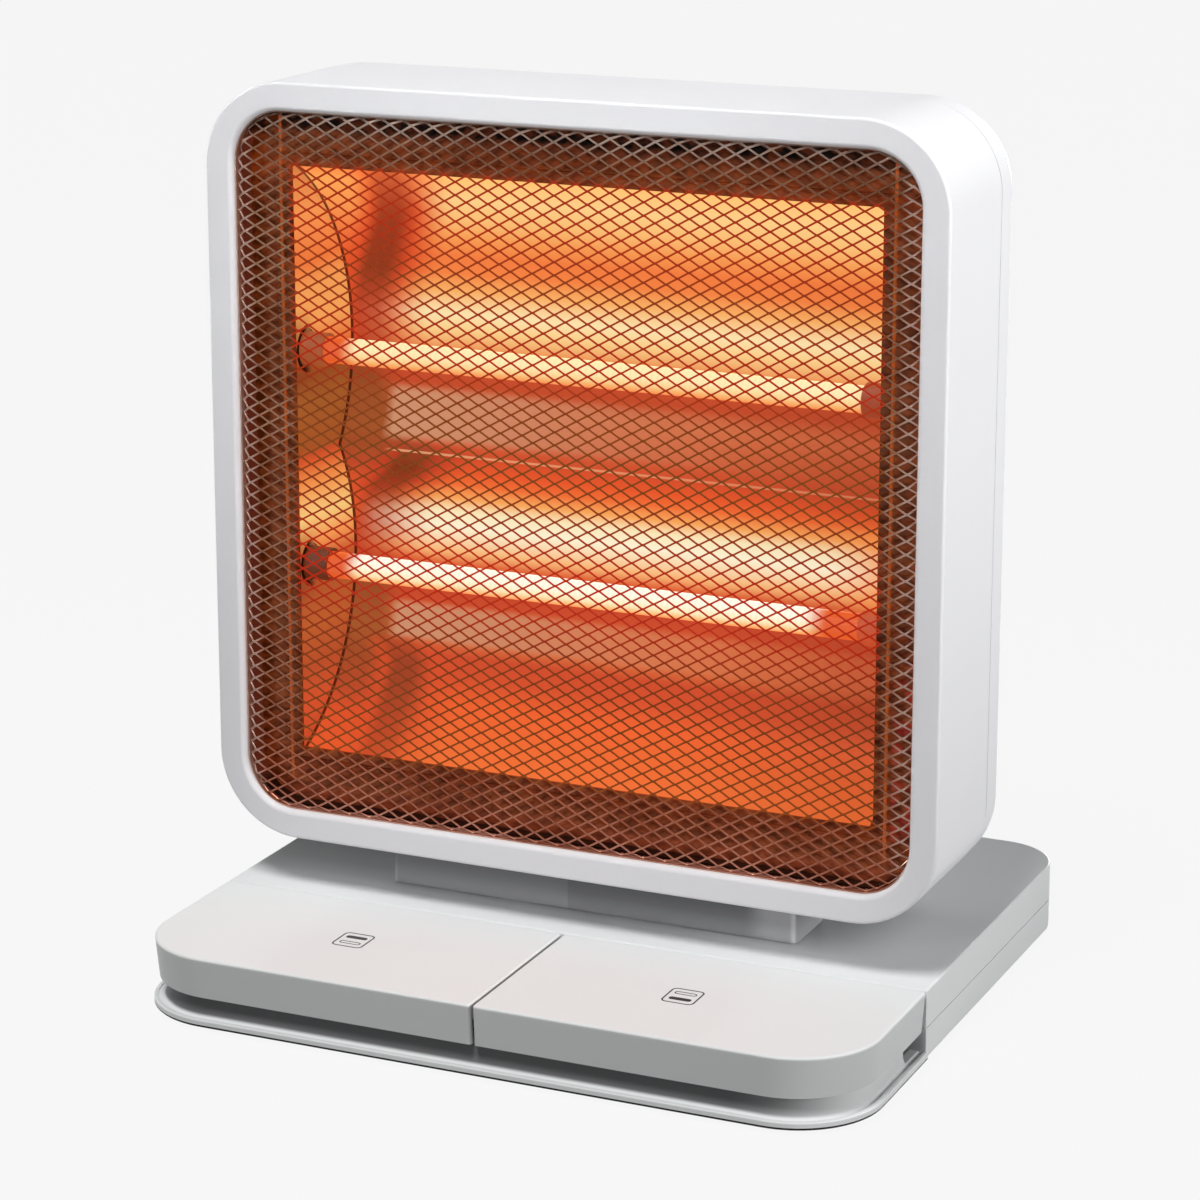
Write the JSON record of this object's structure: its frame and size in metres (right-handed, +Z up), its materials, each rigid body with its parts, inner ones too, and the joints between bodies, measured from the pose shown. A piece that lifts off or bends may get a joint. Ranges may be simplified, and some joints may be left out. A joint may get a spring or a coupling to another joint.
{
  "type": "radiant heater",
  "caption": "Free-standing radiant heater: a deep square head with a mesh guard over trough reflectors and quartz tubes, on a flat base whose front edge is a pair of foot pedals.",
  "frame": {"origin": "middle of the footprint's bounding box, on the floor", "axes": "+X to the viewer's right when the guard is faced, +Y to the rear, +Z up"},
  "size_m": [0.32, 0.272, 0.374],
  "materials": {
    "head_plastic": "gloss white",
    "base_plastic": "satin white",
    "guard_steel": "bright steel with a copper tint",
    "surround_sheet": "polished, brown in the glow",
    "reflector_sheet": "polished",
    "quartz": "frosted, lit",
    "heating_wire": "glowing",
    "ceramic": "unglazed",
    "zinc_steel": "zinc plated",
    "dark_plastic": "moulded",
    "rubber": "matt"
  },
  "bodies": {
    "root": {"front_housing": "head_plastic", "rear_cover": "head_plastic", "guard_mesh": "guard_steel", "reflector_surround": "surround_sheet", "reflector": "reflector_sheet", "reflector_cheek_left": "reflector_sheet", "reflector_cheek_right": "reflector_sheet", "thermal_cutout": "dark_plastic", "quartz_tube_upper": "quartz", "quartz_tube_lower": "quartz", "heating_coil_upper": "heating_wire", "heating_coil_lower": "heating_wire", "tube_cap_upper_left": "ceramic", "tube_cap_upper_right": "ceramic", "tube_cap_lower_left": "ceramic", "tube_cap_lower_right": "ceramic", "tube_clip_upper_left": "zinc_steel", "tube_clip_upper_right": "zinc_steel", "tube_clip_lower_left": "zinc_steel", "tube_clip_lower_right": "zinc_steel", "cover_screw_upper_left": "zinc_steel", "cover_screw_upper_right": "zinc_steel", "cover_screw_lower_left": "zinc_steel", "cover_screw_lower_right": "zinc_steel", "neck_column": "head_plastic", "neck_bracket": "zinc_steel", "bracket_screw_upper_left": "zinc_steel", "bracket_screw_upper_right": "zinc_steel", "bracket_screw_lower_left": "zinc_steel", "bracket_screw_lower_right": "zinc_steel", "base_tray": "base_plastic", "base_cover": "base_plastic", "hinge_pin_left": "zinc_steel", "hinge_pin_right": "zinc_steel", "return_spring_left": "zinc_steel", "return_spring_right": "zinc_steel", "switch_body_left": "dark_plastic", "switch_body_right": "dark_plastic", "tip_switch_body": "dark_plastic", "terminal_block": "dark_plastic", "cord_bush": "dark_plastic", "foot_front_left": "rubber", "foot_front_right": "rubber", "foot_rear_left": "rubber", "foot_rear_right": "rubber", "base_screw_front_left": "zinc_steel", "base_screw_front_right": "zinc_steel", "base_screw_rear_left": "zinc_steel", "base_screw_rear_right": "zinc_steel"},
    "pedal_left": {"pedal_left": "base_plastic"},
    "pedal_right": {"pedal_right": "base_plastic"},
    "switch_plunger_left": {"switch_plunger_left": "dark_plastic"},
    "switch_plunger_right": {"switch_plunger_right": "dark_plastic"},
    "tip_plunger": {"tip_plunger": "dark_plastic"}
  },
  "joints": [
    {"name": "pedal_left_press", "type": "hinge", "parent": "root", "child": "pedal_left", "pos_m": [-0.0788, -0.054, 0.022], "axis": [1, 0, 0], "range_deg": [0, 2.6], "stiffness_Nm_per_rad": 4, "springref_deg": -2.86, "deforming": ["return_spring_left"]},
    {"name": "pedal_right_press", "type": "hinge", "parent": "root", "child": "pedal_right", "pos_m": [0.0788, -0.054, 0.022], "axis": [1, 0, 0], "range_deg": [0, 2.6], "stiffness_Nm_per_rad": 4, "springref_deg": -2.86, "deforming": ["return_spring_right"]},
    {"name": "switch_left_travel", "type": "slide", "parent": "root", "child": "switch_plunger_left", "axis": [0, 0, -1], "range_m": [0, 0.0025]},
    {"name": "switch_right_travel", "type": "slide", "parent": "root", "child": "switch_plunger_right", "axis": [0, 0, -1], "range_m": [0, 0.0025]},
    {"name": "tip_switch_travel", "type": "slide", "parent": "root", "child": "tip_plunger", "axis": [0, 0, -1], "range_m": [0, 0.005], "stiffness_N_per_m": 40, "springref_m": 0.006}
  ],
  "couplings": [
    {"joint": "switch_left_travel", "follows": "pedal_left_press", "m_per_rad": 0.052},
    {"joint": "switch_right_travel", "follows": "pedal_right_press", "m_per_rad": 0.052}
  ]
}
